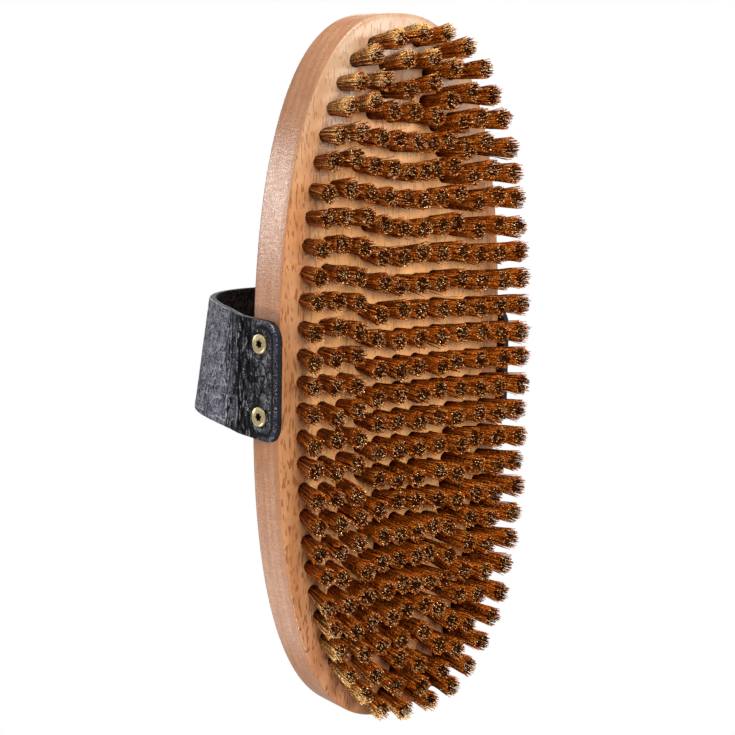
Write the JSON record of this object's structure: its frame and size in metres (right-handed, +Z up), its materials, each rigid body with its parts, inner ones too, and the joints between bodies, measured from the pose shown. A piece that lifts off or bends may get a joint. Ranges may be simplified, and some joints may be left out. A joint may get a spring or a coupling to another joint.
{
  "type": "body dry brush",
  "caption": "Oval wooden hand brush with leaning tufts of bronze wire on its face and a bowed leather strap screwed to its sides, for dry brushing the skin.",
  "frame": {"origin": "middle of the plane of the trimmed bristle tips, under the centre of the block", "axes": "+X across the block, +Y along it, +Z up from the bristle tips through the block to the strap"},
  "size_m": [0.0736, 0.18, 0.0765],
  "materials": {
    "beech": "satin oiled beech",
    "bronze_wire": "fine bronze wire",
    "black_leather": "pebbled",
    "brass": "bright"
  },
  "bodies": {
    "block": {"brush_block": "beech", "bristle_band_1": "bronze_wire", "bristle_band_2": "bronze_wire", "bristle_band_3": "bronze_wire", "strap_screw_right_front": "brass", "strap_screw_right_rear": "brass", "strap_screw_left_front": "brass", "strap_screw_left_rear": "brass"},
    "strap": {"hand_strap": "black_leather"}
  },
  "joints": [
    {"name": "strap_press", "type": "slide", "parent": "block", "child": "strap", "axis": [0, 0, -1], "range_m": [0, 0.018], "stiffness_N_per_m": 400, "deforming": ["hand_strap"]}
  ]
}
